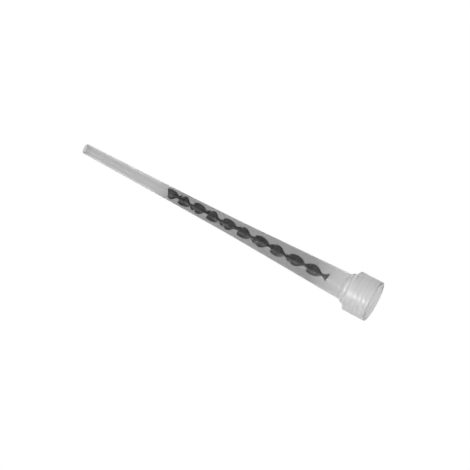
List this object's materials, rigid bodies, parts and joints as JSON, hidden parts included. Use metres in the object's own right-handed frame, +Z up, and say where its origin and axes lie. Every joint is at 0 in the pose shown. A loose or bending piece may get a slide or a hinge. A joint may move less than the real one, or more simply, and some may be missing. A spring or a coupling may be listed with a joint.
{
  "type": "static mixing nozzle",
  "caption": "Tapering translucent tube with a screw-on cup at its wide end and a dark helical mixing element inside; blends two-part resin as it is squeezed through.",
  "frame": {"origin": "centre of the cup's mouth, on the surface the nozzle stands on", "axes": "+Z up along the tube, from the mouth towards the tip; +X along the edge of the mixing blade nearest the tip"},
  "size_m": [0.023, 0.023, 0.188],
  "materials": {
    "natural_polypropylene": "frosted translucent, uncoloured",
    "dark_grey_plastic": "moulded dark grey"
  },
  "bodies": {
    "root": {"nozzle_body": "natural_polypropylene", "mixing_element": "dark_grey_plastic"}
  },
  "joints": []
}
